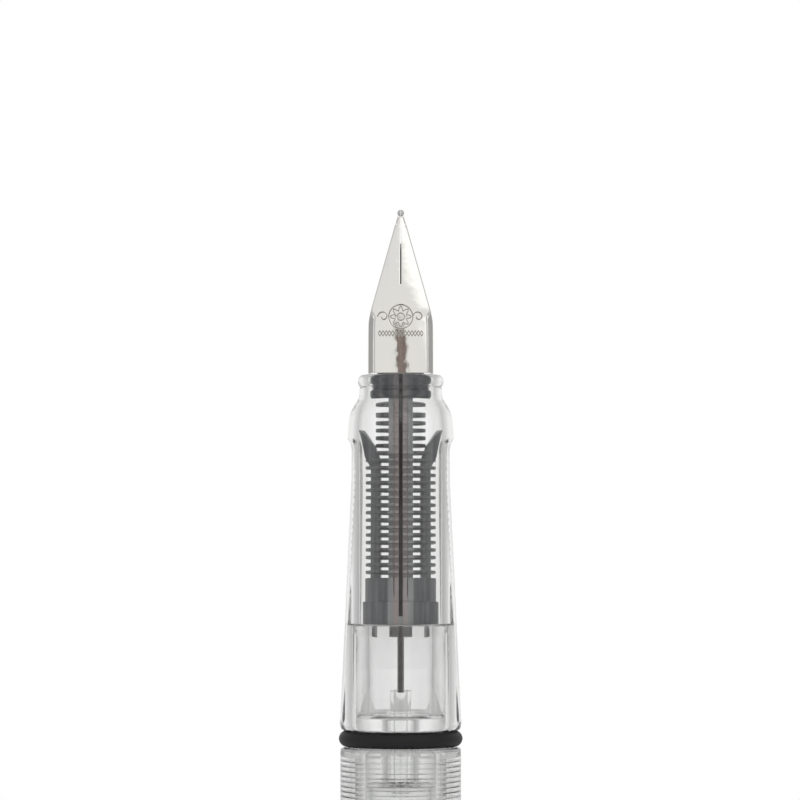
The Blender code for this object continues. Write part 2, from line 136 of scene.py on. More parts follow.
def tinted(add, join, value, one, two):
    """A 0 to 1 value made a colour between two, each given as a colour or as a socket."""
    node = add("ShaderNodeMix", data_type="RGBA")
    join(value, node.inputs["Factor"])
    for name, tone in (("A", one), ("B", two)):
        if isinstance(tone, tuple):
            node.inputs[name].default_value = (*tone, 1)
        else:
            join(tone, node.inputs[name])
    return node.outputs["Result"]


studio = bpy.data.worlds.new("white_studio")
studio.use_nodes = True
scene.world = studio
studio.node_tree.nodes.clear()
add, join, calc = node_calls(studio.node_tree)
split = add("ShaderNodeSeparateXYZ")
join(add("ShaderNodeTexCoord").outputs["Generated"], split.inputs[0])
x, y, z = (split.outputs[axis] for axis in "XYZ")
sweep = ramp(add, join, ranged(add, join, y, start=-1.0),
             [(0.0, (0.685, 0.68, 0.66)), (1.0, 0.78), (0.04, 0.66), (0.09, 0.46), (0.20, 0.36),
              (0.24, 0.85), (0.34, 0.85), (0.38, 0.32), (0.57, 0.30), (0.75, 0.42), (0.88, 0.55),
              (0.93, 0.68), (0.97, 0.79)])
rise = calc("MULTIPLY_ADD", x, 0.65, z)
soft_box = ranged(add, join, rise, start=0.27, end=0.41, kind="SMOOTHSTEP")
in_front = ranged(add, join, y, start=-0.84, end=-0.9, kind="SMOOTHSTEP")
boxed = tinted(add, join, calc("MULTIPLY", soft_box, in_front), sweep, (0.98, 0.98, 0.97))
aside = calc("ABSOLUTE", x)
flag_tone = ramp(add, join, aside, [(0.0, (0.21, 0.165, 0.15)), (1.0, (0.10, 0.075, 0.068)),
                                    (0.018, (0.20, 0.155, 0.14)), (0.034, (0.13, 0.10, 0.09))])
open_air = ranged(add, join, aside, start=0.048, end=0.058, kind="SMOOTHSTEP")
for beyond in (ranged(add, join, z, start=0.17, end=0.19, kind="SMOOTHSTEP"),
               ranged(add, join, z, start=-0.3, end=-0.4, kind="SMOOTHSTEP"), calc("GREATER_THAN", y, 0.0)):
    open_air = calc("MAXIMUM", open_air, beyond)
lamp = add("ShaderNodeBackground", in_1=1.25)
join(tinted(add, join, open_air, flag_tone, boxed), lamp.inputs["Color"])
seen = add("ShaderNodeBackground", in_0=(1.0, 1.0, 1.0, 1.0))
choose = add("ShaderNodeMixShader")
join(add("ShaderNodeLightPath").outputs["Is Camera Ray"], choose.inputs[0])
join(lamp.outputs[0], choose.inputs[1])
join(seen.outputs[0], choose.inputs[2])
join(choose.outputs[0], add("ShaderNodeOutputWorld").inputs["Surface"])

bm = bmesh.new()
bmesh.ops.create_circle(bm, cap_ends=True, segments=96, radius=0.9)
floor_mesh = bpy.data.meshes.new("pale_floor")
bm.to_mesh(floor_mesh)
bm.free()
floor = bpy.data.objects.new("pale_floor", floor_mesh)
scene.collection.objects.link(floor)
floor_paint = bpy.data.materials.new("pale_floor")
floor_paint.use_nodes = True
floor_paint.node_tree.nodes["Principled BSDF"].inputs["Base Color"].default_value = (0.9, 0.9, 0.9, 1)
floor_paint.node_tree.nodes["Principled BSDF"].inputs["Roughness"].default_value = 0.7
floor_mesh.materials.append(floor_paint)

# ----------------------------------------------------------------------------
# Barrel: a tube moulded in clear acrylic, a little slimmer towards its tail. The grip's tenon
# screws into a rounded thread inside it. Above the thread, fine rings line the bore of its mouth.
thread_pitch = 1.0
barrel_wall = 1.0
tail, mouth, barrel_r = heights("barrel")
barrel_bore = barrel_r - barrel_wall


def run(start, end, count):
    """Evenly spaced (radius, height) points from start to end, with both ends."""
    return [(start[0] + (end[0] - start[0]) * i / count, start[1] + (end[1] - start[1]) * i / count)
            for i in range(count + 1)]


def turned(outline, steps=144, soft=0.12, corner=25.0):
    """Turns an outline of (radius, height) points in millimetres, as on a lathe.

    Corners sharper than the corner angle are rounded first. An outline with both ends on the
    axis is a solid; any other is closed into a ring.
    """
    bm = bmesh.new()
    points = [bm.verts.new((r * mm, 0.0, z * mm)) for r, z in outline]
    for one, two in zip(points, points[1:]):
        bm.edges.new((one, two))
    if outline[0][0] > 0 or outline[-1][0] > 0:
        bm.edges.new((points[-1], points[0]))
    for point in points:
        if len(point.link_edges) == 2:
            arms = [edge.other_vert(point).co - point.co for edge in point.link_edges]
            if arms[0].angle(-arms[1]) > math.radians(corner):
                room = 0.45 * min(arm.length for arm in arms)
                bmesh.ops.bevel(bm, geom=[point], offset=min(soft * mm, room), affect="VERTICES",
                                segments=3, profile=0.5, material=-1)
    bmesh.ops.spin(bm, geom=bm.verts[:] + bm.edges[:], cent=(0, 0, 0), axis=(0, 0, 1),
                   angle=2 * math.pi, steps=steps, use_merge=True)
    bmesh.ops.remove_doubles(bm, verts=bm.verts, dist=0.0001 * mm)
    bmesh.ops.recalc_face_normals(bm, faces=bm.faces)
    return bm


def cut_thread(bm, radius, low, high, depth, pitch, crest=1.0, starts=1):
    """Moves the wall at one radius in or out along a helix, narrower as crest rises.

    With no starts, the helix becomes a row of plain rings.
    """
    for vert in bm.verts:
        distance = math.hypot(vert.co.x, vert.co.y) / mm
        height = vert.co.z / mm
        if abs(distance - radius) < 0.02 and low < height < high:
            turn = starts * math.atan2(vert.co.y, vert.co.x) / (2 * math.pi)
            wave = (0.5 + 0.5 * math.cos(2 * math.pi * (height / pitch - turn))) ** crest
            fade = min(1.0, (height - low) / pitch, (high - height) / pitch)
            grow = 1 + depth * fade * wave / distance
            vert.co.x *= grow
            vert.co.y *= grow


def as_object(name, bm, material, sharp=30.0):
    """Makes the mesh an object with its finish, smooth except at edges past the sharp angle."""
    mesh = bpy.data.meshes.new(name)
    bm.to_mesh(mesh)
    bm.free()
    mesh.materials.append(material)
    mesh.shade_smooth()
    mesh.set_sharp_from_angle(angle=math.radians(sharp))
    item = bpy.data.objects.new(name, mesh)
    scene.collection.objects.link(item)
    return item


def effect(name, inputs, outputs):
    """An empty shader group with float inputs {name: value}; returns the calls and its two ends."""
    group = bpy.data.node_groups.new(name, "ShaderNodeTree")
    for label, value in inputs.items():
        socket = group.interface.new_socket(label, in_out="INPUT", socket_type="NodeSocketFloat")
        socket.default_value = value
    for label in outputs:
        group.interface.new_socket(label, in_out="OUTPUT", socket_type="NodeSocketFloat")
    return group, *node_calls(group), group.nodes.new("NodeGroupInput"), group.nodes.new("NodeGroupOutput")


def grained(add, join, place, stretch, detail, roughness=0.5, turn=(0.0, 0.0, 0.0)):
    """Noise over a place; a greater stretch along an axis makes it finer that way."""
    lie = add("ShaderNodeMapping", in_2=turn, in_3=stretch)
    join(place, lie.inputs[0])
    noise = add("ShaderNodeTexNoise", in_2=1.0, in_3=detail, in_4=roughness)
    join(lie.outputs[0], noise.inputs["Vector"])
    return noise.outputs[0]


def handling_marks():
    """Fine hairline scratches in two directions and patches of haze, from handling and wiping."""
    group, add, join, calc, given, result = effect("handling_marks", {}, ["Scratches", "Haze"])
    place = add("ShaderNodeTexCoord").outputs["Object"]
    one = grained(add, join, place, (900.0, 900.0, 30.0), 3.0, 0.6, turn=(0.5, 0.15, 0.0))
    two = grained(add, join, place, (800.0, 800.0, 45.0), 3.0, 0.6, turn=(-0.9, -0.27, 0.0))
    lines = [ranged(add, join, grain, start=0.66, end=0.72) for grain in (one, two)]
    join(calc("MAXIMUM", *lines), result.inputs["Scratches"])
    join(grained(add, join, place, (220.0, 220.0, 220.0), 4.0, 0.6), result.inputs["Haze"])
    return group


def moulded_skin():
    """The slow waviness and the fine grain that a mould leaves, as one height."""
    group, add, join, calc, given, result = effect("moulded_skin", {"Wave": 0.5, "Grain": 0.5}, ["Height"])
    place = add("ShaderNodeTexCoord").outputs["Object"]
    slow = grained(add, join, place, (260.0, 260.0, 260.0), 1.0)
    fine = grained(add, join, place, (9000.0, 9000.0, 9000.0), 3.0)
    high = calc("MULTIPLY", slow, given.outputs["Wave"])
    join(calc("MULTIPLY_ADD", fine, given.outputs["Grain"], high), result.inputs["Height"])
    return group


marks_group = handling_marks()
skin_group = moulded_skin()


def finish_start(name):
    """A new material: its three node calls, its Principled shader, and its scratches and haze."""
    made = bpy.data.materials.new(name)
    made.use_nodes = True
    calls = node_calls(made.node_tree)
    wear = calls[0]("ShaderNodeGroup", node_tree=marks_group)
    shader = made.node_tree.nodes["Principled BSDF"]
    return made, *calls, shader, wear.outputs["Scratches"], wear.outputs["Haze"]


def bumped(add, join, height, shader, distance):
    """Feeds a height to the shader's normal, as relief of the given depth in metres."""
    bump = add("ShaderNodeBump")
    bump.inputs["Strength"].default_value = 1.0
    bump.inputs["Distance"].default_value = distance
    join(height, bump.inputs["Height"])
    join(bump.outputs[0], shader.inputs["Normal"])


def skinned(add, join, shader, wave, grain, depth):
    """Gives the shader a moulded skin as relief of the given depth in metres."""
    skin = add("ShaderNodeGroup", node_tree=skin_group)
    skin.inputs["Wave"].default_value = wave
    skin.inputs["Grain"].default_value = grain
    bumped(add, join, skin.outputs["Height"], shader, depth)


def clear_acrylic(name, tint, edge_on_shade, marks, wave):
    """Clear moulded acrylic, greyer where it is seen edge on (partly the tint of the longer path through the
    wall, partly painted shade), with hairlines and slow waviness.
    """
    made, add, join, calc, shader, scratches, haze = finish_start(name)
    shader.inputs["IOR"].default_value = 1.49
    shader.inputs["Transmission Weight"].default_value = 1.0
    # Painted shade: the colour turns greyer as the surface is seen edge on, partly for the longer path
    # through the wall.
    facing = add("ShaderNodeLayerWeight", in_0=0.5)
    grazing_shade = ramp(add, join, facing.outputs["Facing"],
                   [(0.0, 0.0), (1.0, 1.0), (0.25, 0.02), (0.5, 0.4), (0.75, 0.85)])
    body = tinted(add, join, haze, tint, tuple(0.992 * c for c in tint))
    join(tinted(add, join, grazing_shade, body, edge_on_shade), shader.inputs["Base Color"])
    join(ranged(add, join, scratches, 0.0, marks), shader.inputs["Roughness"])
    skinned(add, join, shader, wave, 0.0, 0.02 * mm)
    return made


# The second colour is the painted shade where the plastic is seen edge on.
clear_plastic = clear_acrylic("clear_plastic", (0.958, 0.960, 0.957), (0.79, 0.80, 0.77), 0.08, 0.6)

rings_top = mouth - 0.9
rings_foot = mouth - 6.0
thread_foot = mouth - 9.6
ring_pitch = 0.5
outline = [(barrel_r - 0.2, mouth), (barrel_r, mouth - 0.2)]
outline += run((barrel_r, mouth - 26.0), (barrel_r - 0.1, tail + 27.0), 4)
outline += [(barrel_r - 0.37, tail + 3.0), (barrel_r - 0.57, tail + 1.2), (barrel_r - 1.02, tail + 0.3),
            (barrel_r - 1.67, tail), (3.0, tail), (3.0, tail + 2.0), (4.2, tail + 2.0), (4.6, tail + 3.0)]
outline += run((barrel_bore - 0.1, tail + 27.0), (barrel_bore - 0.1, mouth - 10.5), 6)
outline += run((barrel_bore, mouth - 10.0), (barrel_bore, rings_foot), 40)
outline += run((barrel_bore, rings_foot + 0.04), (barrel_bore, rings_top), 124)
outline += [(barrel_bore, mouth - 0.35), (barrel_bore + 0.3, mouth)]
bm = turned(outline, steps=192)
cut_thread(bm, barrel_bore, thread_foot, rings_foot - 0.1, -0.14, thread_pitch)
cut_thread(bm, barrel_bore, rings_foot, rings_top, -0.05, ring_pitch, crest=3.0, starts=0)
barrel = as_object("clear_barrel", bm, clear_plastic)
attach(barrel, "barrel")
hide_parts("barrel")

# ----------------------------------------------------------------------------
# Barrel end plug: a small clear disc with a collar, moulded apart and pushed into the hole that
# the mould's core leaves in the barrel's end.
foot, _, _ = heights("barrel_end_plug")
bm = turned([(0, foot + 3.1), (3.6, foot + 3.1), (3.6, foot + 2.3), (2.7, foot + 2.3), (2.7, foot + 0.2),
             (2.5, foot), (1.9, foot), (1.8, foot + 0.12), (0, foot + 0.12)])
plug = as_object("clear_end_plug", bm, clear_plastic)
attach(plug, "barrel")
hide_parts("barrel_end_plug")

# ----------------------------------------------------------------------------
# O-ring: a black rubber cord ring between the barrel and the grip. It is moulded in two halves,
# so a faint parting line runs round its widest place.
ring_foot, ring_top, ring_r = heights("section_o_ring")
ring_thick = (ring_top - ring_foot) / 2
ring_middle = (ring_top + ring_foot) / 2
ring_core = ring_r - ring_thick
cord_turns = 40
outline = []
for i in range(cord_turns):
    angle = 2 * math.pi * i / cord_turns
    bulge = 1.0 + 0.022 * math.exp(-((angle - math.pi) / 0.1) ** 2)
    outline.append((ring_core - ring_thick * bulge * math.cos(angle),
                    ring_middle + ring_thick * bulge * math.sin(angle)))
bm = turned(outline, steps=160)

rubber, add, join, calc, shader, scratches, haze = finish_start("black_rubber")
join(tinted(add, join, haze, (0.006, 0.006, 0.0065), (0.022, 0.022, 0.023)), shader.inputs["Base Color"])
join(ranged(add, join, haze, 0.42, 0.68), shader.inputs["Roughness"])
shader.inputs["Specular IOR Level"].default_value = 0.35
skinned(add, join, shader, 0.3, 1.0, 0.012 * mm)
o_ring = as_object("rubber_o_ring", bm, rubber)
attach(o_ring, "ring")
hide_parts("section_o_ring")

# ----------------------------------------------------------------------------
# Grip: the clear shell that the fingers hold, moulded in one piece over the core. A rolled lip
# and a neck open its top, the side swells at the shoulder, and a long flat lies at each side.
core_r = 4.6
chamber_r = 4.2
throat_r = 3.35
flat_turn = math.radians(85.0)
flat_line = [(1.2, 5.98), (1.9, 5.91), (23.6, 4.82), (25.0, 4.77), (27.9, 4.77), (28.5, 4.9),
             (29.3, 5.6), (29.8, 6.0)]


def flowing(points, cuts):
    """A smooth line through (radius, height) points, with the given cuts between two of them."""
    line = []
    last = len(points) - 1
    for i in range(last):
        before, one = Vector(points[max(i - 1, 0)]), Vector(points[i])
        two, after = Vector(points[i + 1]), Vector(points[min(i + 2, last)])
        span = (two - one).length
        lead = (two - before).normalized() * span
        leave = (after - one).normalized() * span
        for step in range(cuts):
            t = step / cuts
            line.append(tuple(one * (2 * t**3 - 3 * t**2 + 1) + lead * (t**3 - 2 * t**2 + t)
                              + two * (3 * t**2 - 2 * t**3) + leave * (t**3 - t**2)))
    return line + [tuple(points[-1])]


def between(line, place):
    """The value at a place along a line of (place, value) points, straight from point to point."""
    for (low, one), (high, two) in zip(line, line[1:]):
        if low <= place <= high:
            return one + (two - one) * (place - low) / (high - low)
    return None


def press_flats(bm, softness=0.05):
    """Presses the long finger flats into the outside of the shell, with softened edges."""
    for vert in bm.verts:
        height = vert.co.z / mm - grip_foot
        distance = math.hypot(vert.co.x, vert.co.y) / mm
        depth = between(flat_line, height)
        if depth is None or distance < core_r + 0.4:
            continue
        turn = math.atan2(abs(vert.co.x), -vert.co.y) - flat_turn
        if math.cos(turn) > 0.3:
            wall = depth / math.cos(turn)
            step = distance - wall
            blend = 0.5 * (step + math.sqrt(step * step + softness * softness))
            vert.co.x *= 1 - blend / distance
            vert.co.y *= 1 - blend / distance


neck = flowing([(3.6, 35.38), (3.95, 35.33), (4.2, 35.1), (4.29, 34.7), (4.2, 34.34), (4.09, 34.16),
                (4.13, 33.9), (4.15, 33.58), (4.17, 33.23), (4.3, 32.88), (4.62, 32.38), (4.93, 31.83),
                (5.1, 31.33), (5.2, 30.68), (5.25, 29.88), (5.3, 28.58)], 4)
side = run((5.3, 28.5), (5.5, 21.6), 34) + run((5.51, 21.3), (5.78, 11.6), 30)
side += run((5.788, 11.2), (6.0, 3.9), 22) + flowing([(6.01, 3.6), (6.07, 1.5), (6.04, 0.5), (5.95, 0.15),
                                                      (5.8, 0.0)], 4)
outside = [(r, grip_foot + h) for r, h in neck + side]
dome = flowing([(chamber_r, 29.88), (4.15, 30.68), (4.05, 31.33), (3.9, 31.83), (3.65, 32.38),
                (3.42, 32.88), (throat_r, 33.23)], 4)
inside = [(core_r + 0.3, grip_foot), (core_r + 0.3, grip_foot + 10.48), (chamber_r, grip_foot + 10.48)]
inside += [(r, grip_foot + h) for r, h in dome] + [(throat_r, lip - 0.3), (throat_r + 0.2, lip)]
bm = turned(outside + inside, steps=216, soft=0.1)
press_flats(bm)
bmesh.ops.recalc_face_normals(bm, faces=bm.faces)
grip = as_object("clear_grip", bm, clear_plastic, sharp=40.0)
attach(grip, "section")
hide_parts("grip_shell")

# ----------------------------------------------------------------------------
# Core: a second clear moulding welded inside the grip. Its rim carries the feed's foot, its floor
# holds the nipple, and the threaded tenon below the floor screws into the barrel.
core_top = heights("section_core")[1] + 0.25
core_side = core_r - 0.12
rim = core_top - 0.5
floor_top = grip_foot + 1.2
floor_foot = grip_foot + 0.3
tenon = mouth - 0.4
tenon_r = 4.58
tenon_bore = 3.95
nipple_r = 1.05
nipple_hole = nipple_r + 0.3
outline = [(core_r, core_top), (core_r, rim), (core_side, rim - 0.3), (core_side, tenon + 0.3),
           (tenon_r, tenon)]
outline += run((tenon_r, tenon - 0.5), (tenon_r, tenon - 7.6), 72)
outline += [(tenon_r - 0.25, tenon - 8.1), (tenon_bore, tenon - 8.1), (tenon_bore, floor_foot),
            (nipple_hole, floor_foot), (nipple_hole, floor_top)]
outline += flowing([(2.4, floor_top), (2.75, floor_top + 0.1), (3.0, floor_top + 0.35),
                    (3.1, floor_top + 0.7)], 4)
outline += [(3.1, grip_foot + 6.08), (3.16, grip_foot + 6.38), (3.16, core_top)]
bm = turned(outline, steps=192, soft=0.08)
cut_thread(bm, tenon_r, tenon - 7.5, rings_foot, 0.12, thread_pitch)


def object_place(add, join):
    """The place on the object, then its x, its y and its z, all in metres."""
    apart = add("ShaderNodeSeparateXYZ")
    place = add("ShaderNodeTexCoord").outputs["Object"]
    join(place, apart.inputs[0])
    return place, apart.outputs["X"], apart.outputs["Y"], apart.outputs["Z"]


rim_matt, add, join, calc, shader, scratches, haze = finish_start("matt_rimmed_plastic")
shader.inputs["IOR"].default_value = 1.49
shader.inputs["Transmission Weight"].default_value = 1.0
place, x, y, z = object_place(add, join)
weld = ranged(add, join, z, start=(core_top - 0.86) * mm, end=(core_top - 0.8) * mm, kind="SMOOTHSTEP")
# Painted shade: the core is coloured greyer above the height of the step in its bore.
step = ranged(add, join, z, start=(grip_foot + 6.1) * mm, end=(grip_foot + 6.4) * mm)
body = tinted(add, join, step, (0.955, 0.957, 0.955), (0.925, 0.927, 0.925))
join(tinted(add, join, weld, body, (0.90, 0.90, 0.895)), shader.inputs["Base Color"])
matt = ranged(add, join, weld, 0.0, 0.07)
join(calc("MAXIMUM", matt, ranged(add, join, scratches, 0.0, 0.08)), shader.inputs["Roughness"])
core = as_object("clear_core", bm, rim_matt)
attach(core, "section")
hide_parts("section_core")

# ----------------------------------------------------------------------------
# Nipple: a milky plastic tube with a small flange, pressed through the core's floor. The feed's
# tail enters it from above and the converter's mouth is pushed on to it from below.
nipple_tip, nipple_top, _ = heights("nipple")
nipple_bore = 0.62
flange = grip_foot + 1.5
bm = turned([(nipple_r - 0.1, nipple_top), (nipple_r, nipple_top - 0.15), (nipple_r, flange + 0.3),
             (nipple_r + 0.45, flange + 0.3), (nipple_r + 0.45, flange), (nipple_r, flange),
             (nipple_r, nipple_tip + 0.5), (nipple_r - 0.25, nipple_tip), (nipple_bore, nipple_tip),
             (nipple_bore, nipple_top)], steps=96, soft=0.06)
milky, add, join, calc, shader, scratches, haze = finish_start("milky_plastic")
shader.inputs["IOR"].default_value = 1.15
shader.inputs["Transmission Weight"].default_value = 1.0
join(tinted(add, join, haze, (1.0, 1.0, 1.0), (0.96, 0.965, 0.96)), shader.inputs["Base Color"])
join(ranged(add, join, haze, 0.05, 0.14), shader.inputs["Roughness"])
nipple = as_object("milky_nipple", bm, milky)
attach(nipple, "section")
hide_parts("nipple")

# ----------------------------------------------------------------------------
# Feed: one black moulding. A comb of thin round fins stands on a spine with the ink channel, two
# wings stiffen it, a solid collar seats in the core, and the nose reaches up under the nib.
fin_pitch = 0.736
fin_root_thick = 0.4
fin_rim_thick = 0.28
narrow_rim_thick = 0.34
narrow_fins = 6
fins = 23
spine_half = 1.15
fin_narrow_r = 2.5
fin_wide_r = 3.5
collar_r = 3.78
wing_depth = 2.6
wing_middle = -0.75


def solid_from(bm):
    """A short-lived object from a closed mesh, for joining and cutting."""
    mesh = bpy.data.meshes.new("solid")
    bm.to_mesh(mesh)
    bm.free()
    item = bpy.data.objects.new("solid", mesh)
    scene.collection.objects.link(item)
    return item


def combined(bm, tools):
    """The mesh after each (operation, tool mesh) pair is joined to it or cut from it."""
    base = solid_from(bm)
    helpers = []
    for operation, tool in tools:
        helper = solid_from(tool)
        step = base.modifiers.new(operation, "BOOLEAN")
        step.operation = operation
        step.solver = "EXACT"
        step.object = helper
        helpers.append(helper)
    bpy.context.view_layer.update()
    graph = bpy.context.evaluated_depsgraph_get()
    result = bmesh.new()
    result.from_mesh(base.evaluated_get(graph).to_mesh())
    for item in [base] + helpers:
        bpy.data.objects.remove(item, do_unlink=True)
    bmesh.ops.remove_doubles(result, verts=result.verts, dist=0.0005 * mm)
    bmesh.ops.dissolve_degenerate(result, dist=0.0005 * mm, edges=result.edges)
    return result


def block(low, high, soft=0.0):
    """A box between two corners in millimetres, with its edges rounded by soft."""
    bm = bmesh.new()
    low, high = Vector(low) * mm, Vector(high) * mm
    size = high - low
    place = Matrix.Translation((low + high) / 2) @ Matrix.Diagonal((*size, 1.0))
    bmesh.ops.create_cube(bm, size=1.0, matrix=place)
    if soft:
        bmesh.ops.bevel(bm, geom=bm.edges[:], offset=soft * mm, affect="EDGES", segments=3,
                        profile=0.5, material=-1)
    return bm


def plate(points, half_thickness):
    """A flat (x, z) outline in millimetres made a plate across y = 0."""
    bm = bmesh.new()
    corners = [bm.verts.new((x * mm, -half_thickness * mm, z * mm)) for x, z in points]
    face = bm.faces.new(corners)
    wall = bmesh.ops.extrude_face_region(bm, geom=[face])
    moved = [item for item in wall["geom"] if isinstance(item, bmesh.types.BMVert)]
    bmesh.ops.translate(bm, verts=moved, vec=(0, 2 * half_thickness * mm, 0))
    bmesh.ops.recalc_face_normals(bm, faces=bm.faces)
    return bm


def nib_half_width(s):
    """The nib's half width at a distance s back from its tip, with a rounded shoulder."""
    straight = 0.36 + 0.281 * max(s - 0.4, 0.0)
    gap = 3.25 - straight
    return straight + 0.5 * (gap - math.sqrt(gap * gap + 0.015)) if s < 14 else 3.25


def nib_top(s):
    """How far forward the nib's upper face stands at a distance s back from its tip."""
    return -2.75 + 1.35 * (1 - s / nib_length) ** 1.7


nib_length = 16.0
nib_tip = heights("nib")[0] + nib_length

outline = [(0, lip - 0.25), (2.85, lip - 0.25), (3.05, lip - 0.45), (3.05, lip - 1.1), (2.75, lip - 1.3),
           (2.75, lip - 1.5), (3.05, lip - 1.7), (3.05, lip - 2.35), (2.9, lip - 2.6),
           (spine_half, lip - 2.6)]
for number in range(fins):
    radius = fin_narrow_r if number < narrow_fins else fin_wide_r
    middle = lip - 3.41 - number * fin_pitch
    root_half = fin_root_thick / 2
    rim_half = (narrow_rim_thick if number < narrow_fins else fin_rim_thick) / 2
    outline += [(spine_half, middle + root_half), (radius, middle + rim_half),
                (radius, middle - rim_half), (spine_half, middle - root_half)]
root = lip - 20.2
collar_foot = lip - 24.9
outline += [(spine_half, root), (fin_wide_r + 0.05, root), (fin_wide_r + 0.05, root - 2.3),
            (collar_r, root - 2.35), (collar_r, collar_foot), (1.15, collar_foot),
            (1.15, collar_foot - 0.85), (0.33, collar_foot - 0.85), (0.33, collar_foot - 6.7),
            (0, collar_foot - 6.7)]
comb = turned(outline, steps=96, soft=0.05)

tools = [("UNION", block((-spine_half, -2.35, lip - 22.6), (spine_half, 0.6, lip - 2.5)))]
for hand in (-1, 1):
    slope = [(3.7, 5.6), (3.3, 6.05), (2.95, 6.5), (2.7, 6.85), (2.5, 7.15), (2.25, 7.8), (1.95, 8.6),
             (1.95, 20.3), (2.8, 20.3), (2.8, 9.4), (3.3, 8.3)]
    wing = plate([(hand * x, lip - drop) for x, drop in slope], wing_depth / 2)
    bmesh.ops.translate(wing, verts=wing.verts, vec=(0, wing_middle * mm, 0))
    tools.append(("UNION", wing))
    tools.append(("UNION", block((hand * 2.65 - 0.15, -0.7, lip - 25.8),
                                 (hand * 2.65 + 0.15, 0.7, lip - 24.7))))

nose = bmesh.new()
bmesh.ops.create_cone(nose, cap_ends=True, segments=40, radius1=1.0, radius2=1.0, depth=1.0,
                      matrix=Matrix.Translation((0, 0, 0.5)))
nose_rings = 24
for ring in range(1, nose_rings):
    bmesh.ops.bisect_plane(nose, geom=nose.verts[:] + nose.edges[:] + nose.faces[:],
                           plane_co=(0, 0, ring / nose_rings), plane_no=(0, 0, 1))
for vert in nose.verts:
    share = min(max(vert.co.z, 0.0), 1.0)
    height = lip - 0.5 + 13.6 * share
    s = min(max(nib_tip - height, 0.0), nib_length)
    half_width = max(min(nib_half_width(s) - 0.75, 2.35), 0.3)
    top = nib_top(s) + 0.72
    bottom = top + 0.7 + 3.5 * (1 - share) ** 0.8
    c, n = vert.co.x, vert.co.y
    x = half_width * math.copysign(abs(c) ** 0.7, c)
    y = (top + bottom) / 2 + (bottom - top) / 2 * math.copysign(abs(n) ** 0.7, n)
    vert.co = Vector((x, y, height)) * mm
bmesh.ops.recalc_face_normals(nose, faces=nose.faces)
tools.append(("UNION", nose))
tools.append(("DIFFERENCE", block((-0.2, -4.0, lip - 24.0), (0.2, -1.7, lip - 0.1))))
for hand in (-1, 1):
    edge = hand * 0.62
    tools.append(("DIFFERENCE", block((edge - 0.05, -4.0, lip - 22.0), (edge + 0.05, -2.15, lip - 2.7))))
bm = combined(comb, tools)

ink_stain_and_painted_light, add, join, calc, shader, scratches, haze = finish_start("feed_plastic")
place, x, y, z = object_place(add, join)
spread = ranged(add, join, x, start=-2.5 * mm, end=2.5 * mm)
below_front = ranged(add, join, z, start=(lip - 2.5) * mm, end=(lip - 2.9) * mm)
above_foot = ranged(add, join, z, start=(collar_foot - 0.1) * mm, end=(collar_foot + 0.1) * mm)
streaks = grained(add, join, place, (2600.0, 2600.0, 70.0), 3.0)
drawn = ranged(add, join, streaks, start=0.35, end=0.65)
# Painted light: the spine is painted a lighter grey than the fins and wings.
spine_painted_light = ramp(add, join, spread,
                   [(0.0, 0.0), (1.0, 0.0), (0.25, 0.0), (0.28, 0.55), (0.72, 0.55), (0.75, 0.0)])
tone = calc("MULTIPLY_ADD", haze, 0.3, calc("MULTIPLY_ADD", drawn, 0.28, spine_painted_light))
# The grey from random tone, streaks and the painted light on the spine is held near black on the front collar
# and on the tail below the collar.
feed_grey = calc("MULTIPLY", calc("MULTIPLY", tone, ranged(add, join, below_front, 0.2, 1.0)),
              ranged(add, join, above_foot, 0.1, 1.0))
plain = tinted(add, join, feed_grey, (0.033, 0.038, 0.047), (0.42, 0.425, 0.435))
beside_channel = ramp(add, join, spread, [(0.0, 0.0), (1.0, 0.0), (0.34, 0.0), (0.38, 0.75), (0.45, 0.85),
                                          (0.46, 0.0), (0.54, 0.0), (0.55, 0.8), (0.61, 0.55), (0.64, 0.0)])
soaked = calc("MULTIPLY", beside_channel, ranged(add, join, drawn, 0.45, 1.0))
kept = calc("MULTIPLY", ranged(add, join, below_front, 0.25, 1.0), ranged(add, join, above_foot, 0.15, 1.0))
inked = tinted(add, join, calc("MULTIPLY", soaked, kept), plain, (0.50, 0.36, 0.335))
in_channel = ramp(add, join, spread,
                  [(0.0, 0.0), (1.0, 0.0), (0.452, 0.0), (0.458, 1.0), (0.542, 1.0), (0.548, 0.0)])
wet = calc("MULTIPLY", ranged(add, join, y, start=-2.2 * mm, end=-1.9 * mm), in_channel)
join(tinted(add, join, wet, inked, (0.035, 0.022, 0.021)), shader.inputs["Base Color"])
join(ranged(add, join, haze, 0.24, 0.42), shader.inputs["Roughness"])
skinned(add, join, shader, 0.4, 0.8, 0.008 * mm)
feed = as_object("comb_feed", bm, ink_stain_and_painted_light, sharp=35.0)
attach(feed, "section")
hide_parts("feed")

# ----------------------------------------------------------------------------
# Nib: one piece of spring steel sheet, folded down along both sides to slide over the feed. It
# is slit from the point, polished, finely brushed along its length and lightly engraved.
sheet = 0.22
slit_end = 7.1
columns = 61
rows = 150


